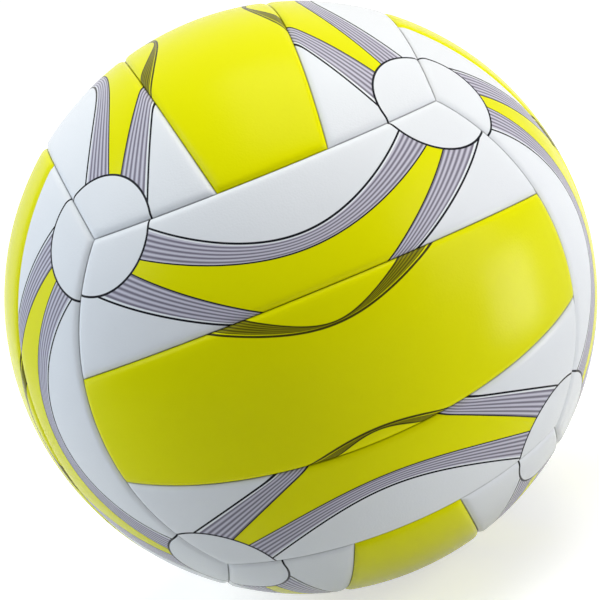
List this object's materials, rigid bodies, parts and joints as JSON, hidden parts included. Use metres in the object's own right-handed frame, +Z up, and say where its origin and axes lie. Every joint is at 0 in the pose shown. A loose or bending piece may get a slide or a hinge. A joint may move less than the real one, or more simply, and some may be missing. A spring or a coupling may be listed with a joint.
{
  "type": "volleyball",
  "caption": "Round inflatable game ball with a glossy yellow and white strip-panel cover over foam, a wound carcass, an air bladder and a needle valve.",
  "frame": {"origin": "centre of the ball", "axes": "+Z up through the middle of the top face, -Y through the middle of the front face, +Y out along the valve"},
  "size_m": [0.21, 0.2097, 0.21],
  "materials": {
    "cover_yellow": "glossy grained PVC, printed",
    "cover_white": "glossy grained PVC, printed",
    "foam": "matt closed-cell foam",
    "carcass_rubber": "matt rubber",
    "winding_nylon": "nylon thread wound all over",
    "bladder_butyl": "satin butyl rubber",
    "valve_rubber": "matt moulded rubber",
    "plug_rubber": "matt moulded rubber"
  },
  "bodies": {
    "root": {"panel_front_middle": "cover_yellow", "panel_front_upper": "cover_white", "panel_front_lower": "cover_white", "panel_back_middle": "cover_yellow", "panel_back_upper": "cover_white", "panel_back_lower": "cover_white", "panel_top_middle": "cover_yellow", "panel_top_right": "cover_white", "panel_top_left": "cover_white", "panel_bottom_middle": "cover_yellow", "panel_bottom_right": "cover_white", "panel_bottom_left": "cover_white", "panel_right_middle": "cover_yellow", "panel_right_rear": "cover_white", "panel_right_front": "cover_white", "panel_left_middle": "cover_yellow", "panel_left_rear": "cover_white", "panel_left_front": "cover_white", "foam_front_middle": "foam", "foam_front_upper": "foam", "foam_front_lower": "foam", "foam_back_middle": "foam", "foam_back_upper": "foam", "foam_back_lower": "foam", "foam_top_middle": "foam", "foam_top_right": "foam", "foam_top_left": "foam", "foam_bottom_middle": "foam", "foam_bottom_right": "foam", "foam_bottom_left": "foam", "foam_right_middle": "foam", "foam_right_rear": "foam", "foam_right_front": "foam", "foam_left_middle": "foam", "foam_left_rear": "foam", "foam_left_front": "foam", "carcass": "carcass_rubber", "winding": "winding_nylon", "bladder": "bladder_butyl", "valve_housing": "valve_rubber", "valve_plug": "plug_rubber"}
  },
  "joints": []
}
